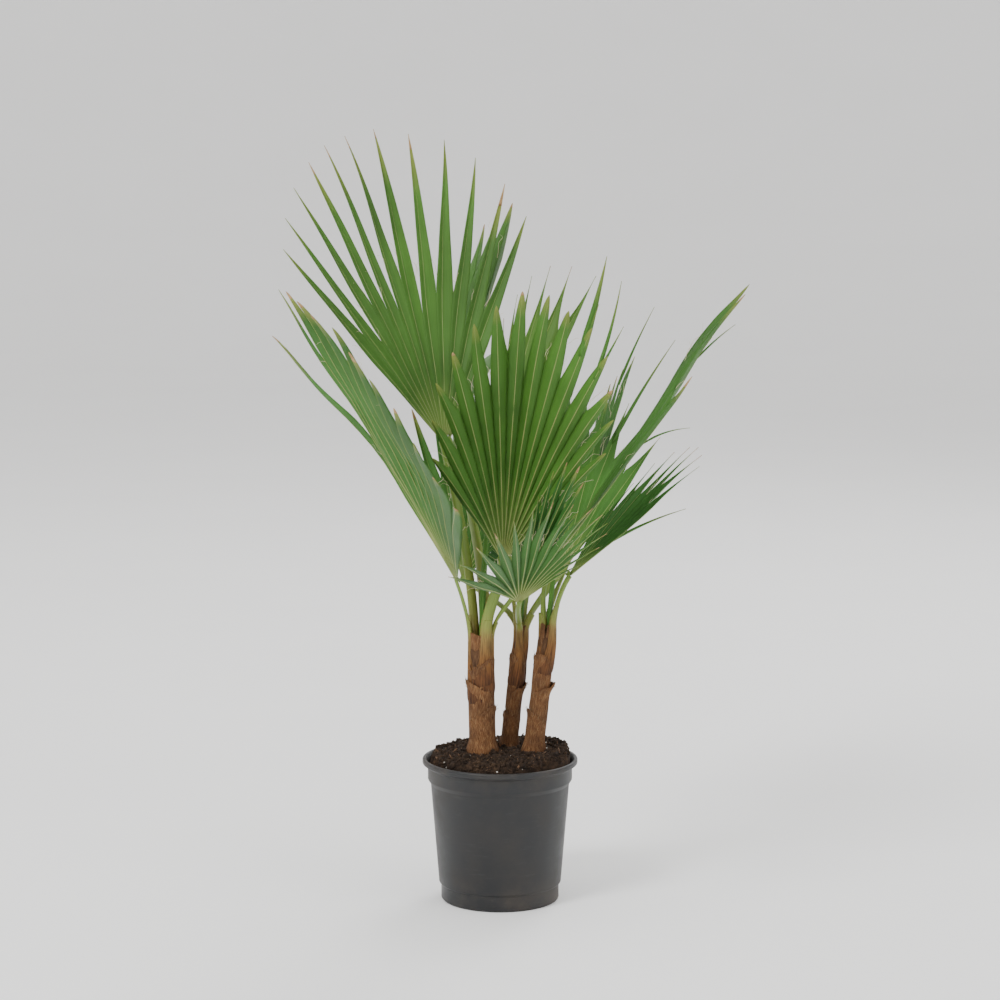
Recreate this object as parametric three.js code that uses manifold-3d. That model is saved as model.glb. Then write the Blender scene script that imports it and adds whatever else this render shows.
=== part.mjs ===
// A clump of three young fan palms in a round nursery pot, in millimetres, +Z up.
// The origin is the centre of the pot's flat underside. -Y is the side that faces the viewer.
import * as THREE from "three";
import { mergeVertices } from "three/addons/utils/BufferGeometryUtils.js";
import Module from "manifold-3d";

const wasm = await Module();
wasm.setup();

// Clearance kept between pieces that touch.
const touchGap = 0.3;

// Pot: a tapered wall with a stepped foot, a straight collar and a flared lip.
const pot = {
  height: 130,
  rimRadius: 70,
  lipHeight: 4.4,
  collarRadius: 65.2,
  collarTop: 122.6,
  collarBottom: 111,
  bodyTop: 107,
  bodyTopRadius: 62.6,
  bodyFootRadius: 55.3,
  footStepHeight: 16,
  footRadius: 53.4,
  wall: 1.5,
  floor: 2.6,
  edgeRadius: 1.5,
  sides: 48,
  drainHoles: 8,
  drainRadius: 4.5,
  drainCircle: 38,
};

// Potting soil: level where the stems stand, with a shoulder that is heaped higher on the right.
const soil = {
  levelHeight: 137,
  levelRadius: 48,
  shoulderRadius: 59.5,
  shoulderHeight: 133.5,
  edgeHeight: 125,
  heap: 7,
};

// Stems: each is a bundle of leaf bases, straight or leaning, with a flared foot and an old
// sheath whose lip stands proud part of the way up. x and y are given at the foot and at the top.
const stemSides = 14;
const stems = {
  left: { foot: [-15.8, -8], top: [-17.6, -8], topHeight: 240, radius: 11.6, topRadius: 12, lip: 196 },
  middle: { foot: [8.2, 14], top: [19, 14], topHeight: 244, radius: 7.4, topRadius: 7.6, lip: 197 },
  right: { foot: [30.4, -4], top: [42.4, -4], topHeight: 250, radius: 8.8, topRadius: 8.6, lip: 198 },
};
const flare = { height: 12, widen: 1.25 };
const lipProud = 1.1;

// Leaves. foot is where the stalk stands on its stem's top, from the middle of that top, and hub
// is where the blade joins the stalk. lean tips the blade's middle line to the right in the front
// view, back tips it away from the viewer and turn rolls the blade about that line, in degrees.
// spread is the whole angle of the fan, fold how far its halves are folded up, short how much
// shorter the outer segments are, skew how much longer the right side is, split where the segments
// part and droop how far the tips hang, the last four as shares of the segment's length. A higher
// taper makes the free ends slimmer, and crowd moves the middle segments to one side. rise and
// reach bend the stalk, as shares of the distance from its foot to the hub. A leaf marked loose
// has a first segment that hangs by itself.
const leaves = {
  left_low: {
    stem: "left", foot: [-8.8, -1.5], hub: [-38, -24, 294], widths: [4.8, 4],
    lean: -19, back: -30, turn: -69, length: 295, spread: 68, segments: 12,
    fold: 0, short: 0.15, skew: -0.25, split: 0.72, taper: 0.6, droop: 0.07,
    crowd: -0.15, rise: 0.3, reach: 0.2, loose: true,
  },
  left_high: {
    stem: "left", foot: [-5.4, 5], hub: [-50, 11, 414], widths: [9, 7.2],
    lean: -13.5, back: 5, turn: 36, length: 290, spread: 77, segments: 12,
    fold: 15, short: 0.23, skew: -0.03, split: 0.48, taper: 0.85, droop: 0,
    crowd: -0.06, rise: 0.33, reach: 0.17,
  },
  left_back: {
    stem: "left", foot: [4.6, 5.4], hub: [-47, 48, 412], widths: [10.8, 7],
    lean: 3, back: 36, turn: 90, length: 228, spread: 68, segments: 9,
    fold: 22, short: 0, skew: -0.08, split: 0.72, taper: 0.7, droop: 0.08,
    crowd: 0.09, rise: 0.52, reach: 0.03,
  },
  centre_front: {
    stem: "left", foot: [4.6, -5.6], hub: [3, -29, 313], widths: [10.4, 7.6],
    lean: 4, back: -22, turn: 0, length: 292, spread: 64, segments: 14,
    fold: 24, short: 0.52, skew: 0.04, split: 0.72, taper: 0.6, droop: 0.07,
    crowd: 0.05, rise: 0.43, reach: 0.46,
  },
  centre_young: {
    stem: "middle", foot: [-4.2, -0.4], hub: [-1, 29, 407], widths: [5.2, 4],
    lean: 13, back: 9, turn: 24, length: 160, spread: 40, segments: 7,
    fold: 18, short: 0.2, skew: 0.34, split: 0.6, taper: 1.8, droop: 0,
    crowd: -0.16, rise: 0.1, reach: 0.03,
  },
  right_high: {
    stem: "right", foot: [-3.6, 0.8], hub: [46, 8, 306], widths: [8.2, 5.4],
    lean: 35, back: 13, turn: 84, length: 318, spread: 31, segments: 5,
    fold: 11, short: 0.7, skew: -0.14, split: 0.7, taper: 0.7, droop: 0,
    crowd: 0.09, rise: 0.16, reach: 0.43,
  },
  right_low: {
    stem: "right", foot: [4.6, -3.8], hub: [60, -12, 296], widths: [7, 5.4],
    lean: 42, back: 6, turn: -70, length: 155, spread: 46, segments: 8,
    fold: 4, short: 0.3, skew: 0.3, split: 0.65, taper: 1.9, droop: 0,
    crowd: 0.02, rise: 0.37, reach: 0.16,
  },
  right_back: {
    stem: "middle", foot: [3.6, -0.6], hub: [57, 27, 296], widths: [7, 5],
    lean: 10, back: 42, turn: 5, length: 228, spread: 54, segments: 10,
    fold: 16, short: 0.12, skew: -0.13, split: 0.65, taper: 1.5, droop: 0.02,
    crowd: -0.12, rise: 0.2, reach: 0.04,
  },
  front_left: {
    stem: "middle", foot: [-1.4, -5.6], hub: [17, -47, 280], widths: [5.4, 4.2],
    lean: 11, back: -53, turn: 29, length: 214, spread: 68, segments: 14,
    fold: 10, short: 0.45, skew: -0.2, split: 0.5, taper: 1.1, droop: 0.06,
    crowd: 0.09, rise: 0.2, reach: 0.42,
  },
  front_right: {
    stem: "left", foot: [10.3, -1.2], hub: [22, -34, 296], widths: [4.2, 3.6],
    lean: 22, back: -40, turn: -15, length: 170, spread: 25, segments: 7,
    fold: 12, short: 0.6, skew: -0.14, split: 0.64, taper: 0.7, droop: 0.02,
    crowd: -0.1, rise: 0.3, reach: 0.3,
  },
  back_left: {
    stem: "middle", foot: [-3.4, 5.4], hub: [-34, 49, 284], widths: [5.6, 4.6],
    lean: 11, back: 30, turn: 15, length: 187, spread: 66, segments: 9,
    fold: 8, short: 0.5, skew: -0.33, split: 0.5, taper: 0.6, droop: 0,
    crowd: 0.04, rise: 0.3, reach: 0.1,
  },
  back_low: {
    stem: "middle", foot: [2.4, 5.6], hub: [27, 62, 278], widths: [4.4, 3.8],
    lean: -19, back: 45, turn: -23, length: 200, spread: 72, segments: 10,
    fold: 10, short: 0.5, skew: -0.07, split: 0.4, taper: 0.95, droop: 0.09,
    crowd: -0.16, rise: 0.43, reach: 0.1,
  },
  back_right: {
    stem: "right", foot: [0, 6], hub: [72, 72, 317], widths: [4.8, 4],
    lean: 12, back: 51, turn: 90, length: 206, spread: 28, segments: 10,
    fold: 25, short: 0, skew: -0.1, split: 0.72, taper: 0.6, droop: 0.02,
    crowd: -0.16, rise: 0.22, reach: 0.09,
  },
};

// Blade: a thin plate that starts a little beyond the hub, its segments widest where they part.
const blade = {
  thickness: 1.2,
  rootRadius: 4,
  webStations: [0.5, 1],
  freeStations: [0.35, 0.7],
  splitWave: 0.06,
};

// A loose first segment parts from the others early and hangs below them.
const loose = { split: 0.3, hang: 36 };

// Stalk: a tapered limb.
const stalk = { sides: 8, steps: 7 };

const radians = THREE.MathUtils.degToRad;

function material(colour, roughness) {
  return new THREE.MeshStandardMaterial({ color: colour, roughness, metalness: 0 });
}

const potPlastic = material(0x26282a, 0.55);
const soilPeat = material(0x2c1f16, 0.95);
const stemBark = material(0x6b4a2c, 0.85);
const stalkGreen = material(0x7d8a3c, 0.5);
const leafGreen = material(0x3f7a34, 0.45);

function geometryFrom(points, triangles) {
  const geometry = new THREE.BufferGeometry();
  const places = points.flatMap((p) => [p.x, p.y, p.z]);
  geometry.setAttribute("position", new THREE.Float32BufferAttribute(places, 3));
  geometry.setIndex(triangles.flat());
  geometry.computeVertexNormals();
  return geometry;
}

function toSolid(geometry) {
  const bare = geometry.clone();
  bare.deleteAttribute("normal");
  bare.deleteAttribute("uv");
  const merged = mergeVertices(bare, 1e-4);
  return new wasm.Manifold(new wasm.Mesh({
    numProp: 3,
    vertProperties: new Float32Array(merged.attributes.position.array),
    triVerts: new Uint32Array(merged.index.array),
  }));
}

function fromSolid(solid) {
  const mesh = solid.getMesh();
  const geometry = new THREE.BufferGeometry();
  geometry.setAttribute("position", new THREE.Float32BufferAttribute(mesh.vertProperties, 3));
  geometry.setIndex(Array.from(mesh.triVerts));
  geometry.computeVertexNormals();
  return geometry;
}

// A profile of [radius, height] pairs, turned about Z. It runs from the axis to the axis.
function turned(profile, sides) {
  const points = profile.map(([r, z]) => new THREE.Vector2(r, z));
  const geometry = new THREE.LatheGeometry(points, sides);
  geometry.rotateX(Math.PI / 2);
  return geometry;
}

function makePot() {
  const e = pot.edgeRadius;
  const lipBottom = pot.height - pot.lipHeight;
  const outside = [
    [0, 0],
    [pot.footRadius - e, 0],
    [pot.footRadius - 0.3 * e, 0.3 * e],
    [pot.footRadius, e],
    [pot.footRadius, pot.footStepHeight - e],
    [pot.bodyFootRadius, pot.footStepHeight],
    [pot.bodyTopRadius, pot.bodyTop],
    [pot.collarRadius, pot.collarBottom],
    [pot.collarRadius, pot.collarTop],
    [pot.rimRadius, lipBottom],
    [pot.rimRadius, pot.height - 0.5 * e],
    [pot.rimRadius - 0.5 * e, pot.height],
  ];
  const inside = [
    [pot.rimRadius - 2 * pot.wall, pot.height],
    [pot.collarRadius - pot.wall, pot.collarTop + pot.wall],
    [pot.collarRadius - pot.wall, pot.collarBottom],
    [pot.bodyTopRadius - pot.wall, pot.bodyTop],
    [pot.bodyFootRadius - pot.wall, pot.footStepHeight + pot.wall],
    [pot.footRadius - pot.wall, pot.footStepHeight],
    [pot.footRadius - pot.wall, pot.floor],
    [0, pot.floor],
  ];
  let solid = toSolid(turned([...outside, ...inside], pot.sides));
  for (let i = 0; i < pot.drainHoles; i += 1) {
    const angle = (i / pot.drainHoles) * 2 * Math.PI;
    const hole = new THREE.CylinderGeometry(pot.drainRadius, pot.drainRadius, 4 * pot.floor, 12);
    hole.rotateX(Math.PI / 2);
    hole.translate(pot.drainCircle * Math.cos(angle), pot.drainCircle * Math.sin(angle), 0);
    solid = solid.subtract(toSolid(hole));
  }
  return fromSolid(solid);
}

function makeSoil() {
  const clear = pot.wall + touchGap;
  const profile = [
    [0, pot.floor + touchGap],
    [pot.footRadius - clear, pot.floor + touchGap],
    [pot.footRadius - clear, pot.footStepHeight + pot.wall],
    [pot.bodyFootRadius - clear, pot.footStepHeight + 2 * pot.wall],
    [pot.bodyTopRadius - clear, pot.bodyTop + touchGap],
    [pot.collarRadius - clear, pot.collarBottom + touchGap],
    [pot.collarRadius - clear, soil.edgeHeight],
    [soil.shoulderRadius, soil.shoulderHeight],
    [soil.levelRadius, soil.levelHeight],
    [0, soil.levelHeight],
  ];
  const geometry = turned(profile, pot.sides);
  const places = geometry.attributes.position;
  for (let i = 0; i < places.count; i += 1) {
    const radius = Math.hypot(places.getX(i), places.getY(i));
    const z = places.getZ(i);
    if (z >= soil.edgeHeight - 1e-3 && radius > soil.levelRadius + 1) {
      places.setZ(i, z + soil.heap * Math.max(0, places.getX(i) / radius));
    }
  }
  return geometry;
}

// A limb through a list of centres, each ring with its own radius and square to its direction,
// closed by a flat cap at both ends.
function limb(centres, directions, radii, sides) {
  const points = [];
  const triangles = [];
  const count = centres.length;
  const normal = new THREE.Vector3(1, 0, 0);
  centres.forEach((centre, i) => {
    const along = directions[i];
    normal.addScaledVector(along, -normal.dot(along)).normalize();
    const across = along.clone().cross(normal);
    for (let k = 0; k < sides; k += 1) {
      const angle = (k / sides) * 2 * Math.PI;
      points.push(centre.clone()
        .addScaledVector(normal, radii[i] * Math.cos(angle))
        .addScaledVector(across, radii[i] * Math.sin(angle)));
    }
  });
  for (let i = 0; i < count - 1; i += 1) {
    for (let k = 0; k < sides; k += 1) {
      const a = i * sides + k;
      const b = i * sides + ((k + 1) % sides);
      triangles.push([a, b, b + sides], [a, b + sides, a + sides]);
    }
  }
  const first = points.push(centres[0].clone()) - 1;
  const last = points.push(centres[count - 1].clone()) - 1;
  const lastRing = (count - 1) * sides;
  for (let k = 0; k < sides; k += 1) {
    const next = (k + 1) % sides;
    triangles.push([first, next, k], [last, lastRing + k, lastRing + next]);
  }
  return geometryFrom(points, triangles);
}

function stemRadius(stem, z) {
  const base = soil.levelHeight;
  const share = (z - base) / (stem.topHeight - base);
  const plain = THREE.MathUtils.lerp(stem.radius, stem.topRadius, share);
  const flared = z < base + flare.height ? flare.widen - (flare.widen - 1) * ((z - base) / flare.height) : 1;
  const sheath = z <= stem.lip ? 0 : -lipProud;
  return plain * flared + sheath;
}

function makeStem(stem) {
  const base = soil.levelHeight + touchGap;
  const heights = [
    base,
    base + flare.height,
    (base + stem.lip) / 2,
    stem.lip,
    stem.lip + lipProud,
    stem.topHeight,
  ];
  const centres = heights.map((z) => {
    const share = (z - base) / (stem.topHeight - base);
    const x = THREE.MathUtils.lerp(stem.foot[0], stem.top[0], share);
    const y = THREE.MathUtils.lerp(stem.foot[1], stem.top[1], share);
    return new THREE.Vector3(x, y, z);
  });
  const upright = centres.map(() => new THREE.Vector3(0, 0, 1));
  const radii = heights.map((z) => stemRadius(stem, z));
  return limb(centres, upright, radii, stemSides);
}

// The leaf's own directions: along its middle line, across the fan and square to the blade.
function leafAxes(leaf) {
  const lean = radians(leaf.lean);
  const back = radians(leaf.back);
  const turn = radians(leaf.turn);
  const along = new THREE.Vector3(
    Math.sin(lean) * Math.cos(back), Math.sin(back), Math.cos(lean) * Math.cos(back));
  const level = new THREE.Vector3(Math.cos(lean), 0, -Math.sin(lean));
  const away = along.clone().cross(level);
  const across = level.multiplyScalar(Math.cos(turn)).addScaledVector(away, Math.sin(turn));
  const square = across.clone().cross(along);
  return { along, across, square };
}

// A point of the blade, at a fan angle and a distance from the hub, on a segment of given length.
function bladePoint(leaf, axes, angle, distance, length) {
  const fold = radians(leaf.fold);
  const hang = leaf.droop * length * (distance / length) ** 2;
  return new THREE.Vector3(...leaf.hub)
    .addScaledVector(axes.along, distance * Math.cos(angle))
    .addScaledVector(axes.across, distance * Math.sin(angle) * Math.cos(fold))
    .addScaledVector(axes.square, distance * Math.abs(Math.sin(angle)) * Math.sin(fold))
    .add(new THREE.Vector3(0, 0, -hang));
}

function segmentLength(leaf, share) {
  return leaf.length * (1 - leaf.short * share ** 2 + leaf.skew * share);
}

// One face of triangles becomes a plate: a copy on each side, joined along the open edges.
function thicken(points, triangles, square, thickness) {
  const count = points.length;
  const front = points.map((p) => p.clone().addScaledVector(square, thickness / 2));
  const rear = points.map((p) => p.clone().addScaledVector(square, -thickness / 2));
  const all = [...triangles, ...triangles.map(([a, b, c]) => [a + count, c + count, b + count])];
  const edges = new Set(triangles.flatMap(([a, b, c]) => [`${a},${b}`, `${b},${c}`, `${c},${a}`]));
  for (const edge of edges) {
    const [a, b] = edge.split(",").map(Number);
    if (!edges.has(`${b},${a}`)) {
      all.push([a, b + count, b], [a, a + count, b + count]);
    }
  }
  return geometryFrom([...front, ...rear], all);
}

// A fan of segments, joined as far as the split and free beyond it.
function makeBlade(leaf) {
  const axes = leafAxes(leaf);
  const half = radians(leaf.spread) / 2;
  const points = [];
  const triangles = [];
  const add = (angle, distance, length, hang = 0) => {
    const point = bladePoint(leaf, axes, angle, distance, length);
    point.z -= hang;
    return points.push(point) - 1;
  };
  // rays between the segments, from the root to where they part
  const rays = [];
  for (let i = 0; i <= leaf.segments; i += 1) {
    const share = (2 * i) / leaf.segments - 1;
    const angle = half * (share + leaf.crowd * (1 - share ** 2));
    const length = segmentLength(leaf, share);
    const split = i < 2 && leaf.loose ? loose.split : leaf.split;
    const parting = length * (split + blade.splitWave * Math.sin(2.4 * i));
    const ray = [add(angle, blade.rootRadius, length)];
    blade.webStations.forEach((station) => ray.push(add(angle, station * parting, length)));
    rays.push({ ray, parting, share, angle });
  }
  for (let i = 0; i < leaf.segments; i += 1) {
    const left = rays[i];
    const right = rays[i + 1];
    const middle = (left.angle + right.angle) / 2;
    const length = segmentLength(leaf, (left.share + right.share) / 2);
    const parting = (left.parting + right.parting) / 2;
    const hang = i === 0 && leaf.loose ? loose.hang : 0;
    const rows = left.ray.map((index, k) => [index, right.ray[k]]);
    blade.freeStations.forEach((share) => {
      const distance = parting + share * (length - parting);
      const widest = parting * Math.sin((right.angle - left.angle) / 2);
      const width = widest * (1 - share) ** leaf.taper;
      const swing = Math.atan2(width, distance);
      const lower = hang * share;
      rows.push([middle - swing, middle + swing].map((angle) => add(angle, distance, length, lower)));
    });
    for (let k = 0; k < rows.length - 1; k += 1) {
      const [a, b] = rows[k];
      const [c, d] = rows[k + 1];
      triangles.push([a, b, d], [a, d, c]);
    }
    const tip = add(middle, length, length, hang);
    const [a, b] = rows[rows.length - 1];
    triangles.push([a, b, tip]);
  }
  return thicken(points, triangles, axes.square, blade.thickness);
}

// The stalk stands on its stem and ends just short of the blade's root, in line with the blade.
function makeStalk(leaf) {
  const stem = stems[leaf.stem];
  const { along } = leafAxes(leaf);
  const [dx, dy] = leaf.foot;
  const foot = new THREE.Vector3(stem.top[0] + dx, stem.top[1] + dy, stem.topHeight + touchGap);
  const reachIn = blade.rootRadius * Math.cos(radians(leaf.spread) / 2) - touchGap;
  const end = new THREE.Vector3(...leaf.hub).addScaledVector(along, reachIn);
  const span = foot.distanceTo(end);
  const upright = new THREE.Vector3(0, 0, 1);
  const path = new THREE.CubicBezierCurve3(
    foot,
    foot.clone().addScaledVector(upright, span * leaf.rise),
    end.clone().addScaledVector(along, -span * leaf.reach),
    end);
  const shares = Array.from({ length: stalk.steps + 1 }, (_, i) => i / stalk.steps);
  const centres = shares.map((share) => path.getPoint(share));
  const directions = shares.map((share) => path.getTangent(share));
  const [wide, narrow] = leaf.widths;
  const radii = shares.map((share) => THREE.MathUtils.lerp(wide, narrow, share) / 2);
  return limb(centres, directions, radii, stalk.sides);
}

function addPiece(group, name, geometry, finish) {
  const mesh = new THREE.Mesh(geometry, finish);
  mesh.name = name;
  group.add(mesh);
}

const palm = new THREE.Group();
addPiece(palm, "pot", makePot(), potPlastic);
addPiece(palm, "soil", makeSoil(), soilPeat);
for (const [name, stem] of Object.entries(stems)) {
  addPiece(palm, `stem_${name}`, makeStem(stem), stemBark);
}
for (const [name, leaf] of Object.entries(leaves)) {
  addPiece(palm, `stalk_${name}`, makeStalk(leaf), stalkGreen);
  addPiece(palm, `frond_${name}`, makeBlade(leaf), leafGreen);
}

export default palm;
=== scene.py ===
import math
import random
import bpy
import bmesh
from mathutils import Matrix, Quaternion, Vector, noise


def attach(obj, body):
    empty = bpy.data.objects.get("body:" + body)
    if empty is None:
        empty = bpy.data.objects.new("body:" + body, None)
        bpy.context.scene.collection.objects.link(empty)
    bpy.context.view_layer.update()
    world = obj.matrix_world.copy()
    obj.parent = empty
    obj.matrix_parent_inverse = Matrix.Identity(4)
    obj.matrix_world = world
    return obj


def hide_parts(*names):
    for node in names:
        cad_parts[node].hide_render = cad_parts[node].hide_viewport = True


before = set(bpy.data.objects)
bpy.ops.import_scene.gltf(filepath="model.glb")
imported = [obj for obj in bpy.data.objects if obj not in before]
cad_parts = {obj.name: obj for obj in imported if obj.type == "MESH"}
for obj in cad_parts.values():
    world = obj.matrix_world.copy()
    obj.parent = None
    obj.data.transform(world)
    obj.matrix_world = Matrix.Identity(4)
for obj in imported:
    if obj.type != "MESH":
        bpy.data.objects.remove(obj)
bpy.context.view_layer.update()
scene = bpy.context.scene
up = Vector((0, 0, 1))

# Shapes are worked out in millimetres and brought to metres when a piece is finished.
toMetres = 0.001


def mix(a, b, t):
    return a + (b - a) * t


def ease(t):
    t = min(1.0, max(0.0, t))
    return t * t * (3 - 2 * t)


def finishPiece(bm, name, material, stands=(), weld=0.004, thick=0.0):
    # merges doubles, turns faces out, adds a wall where thick is given and hands the piece over
    if weld:
        bmesh.ops.remove_doubles(bm, verts=bm.verts, dist=weld)
    bmesh.ops.recalc_face_normals(bm, faces=bm.faces)
    bmesh.ops.scale(bm, verts=bm.verts, vec=(toMetres, toMetres, toMetres))
    mesh = bpy.data.meshes.new(name)
    bm.to_mesh(mesh)
    bm.free()
    for face in mesh.polygons:
        face.use_smooth = True
    mesh.materials.append(material)
    piece = bpy.data.objects.new(name, mesh)
    scene.collection.objects.link(piece)
    if thick:
        wall = piece.modifiers.new("thickness", "SOLIDIFY")
        wall.thickness = thick * toMetres
        wall.offset = 0
    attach(piece, "root")
    if stands:
        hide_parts(*stands)
    return piece


def facesOf(verts):
    # always in the same order, so that each run gives the same mesh
    return list(dict.fromkeys(f for v in verts for f in v.link_faces))


def shapedGrid(bm, across, along, place, strip=None):
    # a flat grid whose corners are moved to place(a, b), a across and b along, both from 0 to 1
    flat = bmesh.ops.create_grid(bm, x_segments=across, y_segments=along, size=0.5)["verts"]
    uv = bm.loops.layers.uv.verify()
    spot = {v: (v.co.x + 0.5, v.co.y + 0.5) for v in flat}
    for face in facesOf(flat):
        for loop in face.loops:
            a, b = spot[loop.vert]
            loop[uv].uv = strip(a, b) if strip else (a, b)
    for v, (a, b) in spot.items():
        v.co = place(a, b)
    return flat


def shapedTube(bm, sides, steps, ring, strip=None):
    # a grid rolled up: ring(angle, b) gives each corner, and both ends are closed
    def place(a, b):
        return ring(2 * math.pi * a, b)
    made = shapedGrid(bm, sides, steps, place, strip)
    bmesh.ops.remove_doubles(bm, verts=made, dist=1e-4)
    edges = dict.fromkeys(e for v in made if v.is_valid for e in v.link_edges)
    bmesh.ops.holes_fill(bm, edges=[e for e in edges if e.is_boundary], sides=0)


def spun(outline, turns):
    # an outline of radii and heights, turned once round the upright axis
    bm = bmesh.new()
    corners = [bm.verts.new((radius, 0, z)) for radius, z in outline]
    for a, b in zip(corners, corners[1:]):
        bm.edges.new((a, b))
    bmesh.ops.spin(bm, geom=bm.verts[:] + bm.edges[:], cent=(0, 0, 0), axis=(0, 0, 1),
                   angle=2 * math.pi, steps=turns, use_merge=True)
    return bm


def sideways(direction, hint):
    # the part of hint that is square to direction
    side = hint - direction * hint.dot(direction)
    return side.normalized()


def rim(centre, first, second, angle, wide, tall):
    # a point on the ellipse whose axes lie along first and second
    return centre + first * wide * math.cos(angle) + second * tall * math.sin(angle)


def bow(first, middle, last, b):
    # a bent line's point at b and the direction in which it runs there
    spine = ((middle - first) * (1 - b) + (last - middle) * b).normalized()
    return first.lerp(middle, b).lerp(middle.lerp(last, b), b), spine


# materials

def newMaterial(name, color, roughness=0.5):
    material = bpy.data.materials.new(name)
    material.use_nodes = True
    tree = material.node_tree
    shader = tree.nodes["Principled BSDF"]
    shader.inputs["Base Color"].default_value = (*color, 1)
    shader.inputs["Roughness"].default_value = roughness
    return material, tree, shader


def addNode(tree, kind, **values):
    node = tree.nodes.new(kind)
    for key, value in values.items():
        if key in node.inputs:
            node.inputs[key].default_value = value
        else:
            setattr(node, key, value)
    return node


def mapped(tree, source, scale=(1, 1, 1), angle=0):
    mapping = addNode(tree, "ShaderNodeMapping", Scale=scale, Rotation=(0, 0, math.radians(angle)))
    tree.links.new(source, mapping.inputs["Vector"])
    return mapping.outputs["Vector"]


def split(tree, source, axis):
    parts = tree.nodes.new("ShaderNodeSeparateXYZ")
    tree.links.new(source, parts.inputs["Vector"])
    return parts.outputs[axis]


def combined(tree, operation, *values):
    # a math node, each value a number or another node's output
    node = addNode(tree, "ShaderNodeMath", operation=operation)
    for socket, value in zip(node.inputs, values):
        if isinstance(value, float):
            socket.default_value = value
        else:
            tree.links.new(value, socket)
    return node.outputs["Value"]


def noiseFrom(tree, vector, scale, detail=4.0, rough=0.55):
    node = addNode(tree, "ShaderNodeTexNoise", Scale=scale, Detail=detail, Roughness=rough)
    tree.links.new(vector, node.inputs["Vector"])
    return node.outputs["Fac"]


def ramp(tree, source, stops):
    node = tree.nodes.new("ShaderNodeValToRGB")
    bands = node.color_ramp.elements
    while len(bands) < len(stops):
        bands.new(0.5)
    for band, (place, color) in zip(bands, stops):
        band.position = place
        band.color = (*color, 1)
    tree.links.new(source, node.inputs["Fac"])
    return node.outputs["Color"]


def mixColor(tree, factor, a, b, blend="MIX"):
    # factor is a number or an output, a and b are colours or outputs
    node = addNode(tree, "ShaderNodeMix", data_type="RGBA", blend_type=blend)
    for key, value in (("Factor", factor), ("A", a), ("B", b)):
        socket = node.inputs[key]
        if isinstance(value, float):
            socket.default_value = value
        elif isinstance(value, tuple):
            socket.default_value = (*value, 1)
        else:
            tree.links.new(value, socket)
    return next(o for o in node.outputs if o.type == "RGBA")


def spread(tree, source, low, high, newLow=0.0, newHigh=1.0):
    node = addNode(tree, "ShaderNodeMapRange")
    for key, value in (("From Min", low), ("From Max", high), ("To Min", newLow), ("To Max", newHigh)):
        node.inputs[key].default_value = value
    tree.links.new(source, node.inputs["Value"])
    return node.outputs["Result"]


def bumped(tree, shader, height, strength, distance):
    node = addNode(tree, "ShaderNodeBump", Strength=strength, Distance=distance)
    tree.links.new(height, node.inputs["Height"])
    tree.links.new(node.outputs["Normal"], shader.inputs["Normal"])


def coords(tree, kind="Object"):
    return tree.nodes.new("ShaderNodeTexCoord").outputs[kind]


leafLook = {
    "young": (0.105, 0.235, 0.032),
    "grown": (0.032, 0.135, 0.022),
    "base": (0.21, 0.3, 0.07),
    "tip": (0.26, 0.27, 0.06),
    "veins": 15,
    "roughness": (0.4, 0.56),
    "specular": 0.2,
}


def leafMaterial(name, age):
    look = leafLook
    material, tree, shader = newMaterial(name, look["grown"])
    strip = coords(tree, "UV")
    place = coords(tree)
    patch = spread(tree, noiseFrom(tree, place, 9.0, 3.0), 0.35, 0.68)
    plain = tuple(mix(a, b, age) for a, b in zip(look["young"], look["grown"]))
    deep = tuple(0.62 * c for c in plain)
    green = mixColor(tree, patch, deep, plain)
    along = split(tree, strip, "Y")
    foot = spread(tree, along, 0.0, 0.16, 0.75, 0.0)
    end = spread(tree, along, 0.8, 1.0, 0.0, 0.7)
    green = mixColor(tree, foot, green, look["base"])
    green = mixColor(tree, end, green, look["tip"])
    wave = addNode(tree, "ShaderNodeTexWave", Scale=1.0, Distortion=0.0, bands_direction="X")
    tree.links.new(mapped(tree, strip, (look["veins"] / 3, 0, 0)), wave.inputs["Vector"])
    fine = noiseFrom(tree, mapped(tree, strip, (26, 1.6, 1)), 2.0, 3.0)
    streak = spread(tree, fine, 0.3, 0.7, 0.78, 1.16)
    tree.links.new(mixColor(tree, 0.8, green, streak, "MULTIPLY"), shader.inputs["Base Color"])
    tree.links.new(spread(tree, fine, 0.2, 0.8, *look["roughness"]), shader.inputs["Roughness"])
    bumped(tree, shader, combined(tree, "MULTIPLY_ADD", wave.outputs["Fac"], 0.6, fine), 0.35, 0.0004)
    shader.inputs["Specular IOR Level"].default_value = look["specular"]
    return material


def plainMaterial(name, color, other, roughness, scale, bump):
    # two tones, dealt out by a fine grain
    material, tree, shader = newMaterial(name, color, roughness)
    grain = noiseFrom(tree, coords(tree), scale, 4.0)
    tree.links.new(mixColor(tree, spread(tree, grain, 0.35, 0.65), color, other), shader.inputs["Base Color"])
    bumped(tree, shader, grain, bump, 0.0003)
    return material


stalkLook = {
    # from the brown foot of the leaf base up to the blade
    "tones": [
        (0.0, (0.05, 0.021, 0.01)), (0.06, (0.11, 0.046, 0.018)), (0.12, (0.18, 0.088, 0.03)),
        (0.18, (0.22, 0.15, 0.045)), (0.27, (0.19, 0.21, 0.045)), (0.5, (0.16, 0.24, 0.045)),
        (1.0, (0.17, 0.27, 0.055))],
    "streak": ((0.72, 0.68, 0.6), (1.1, 1.1, 1.0)),
    "fibre": ((0.34, 0.31, 0.29), (1.3, 1.24, 1.12)),
    "roughness": (0.32, 0.55),
    "dull": 0.85,  # the brown foot
    "specular": 0.3,
}


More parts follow.
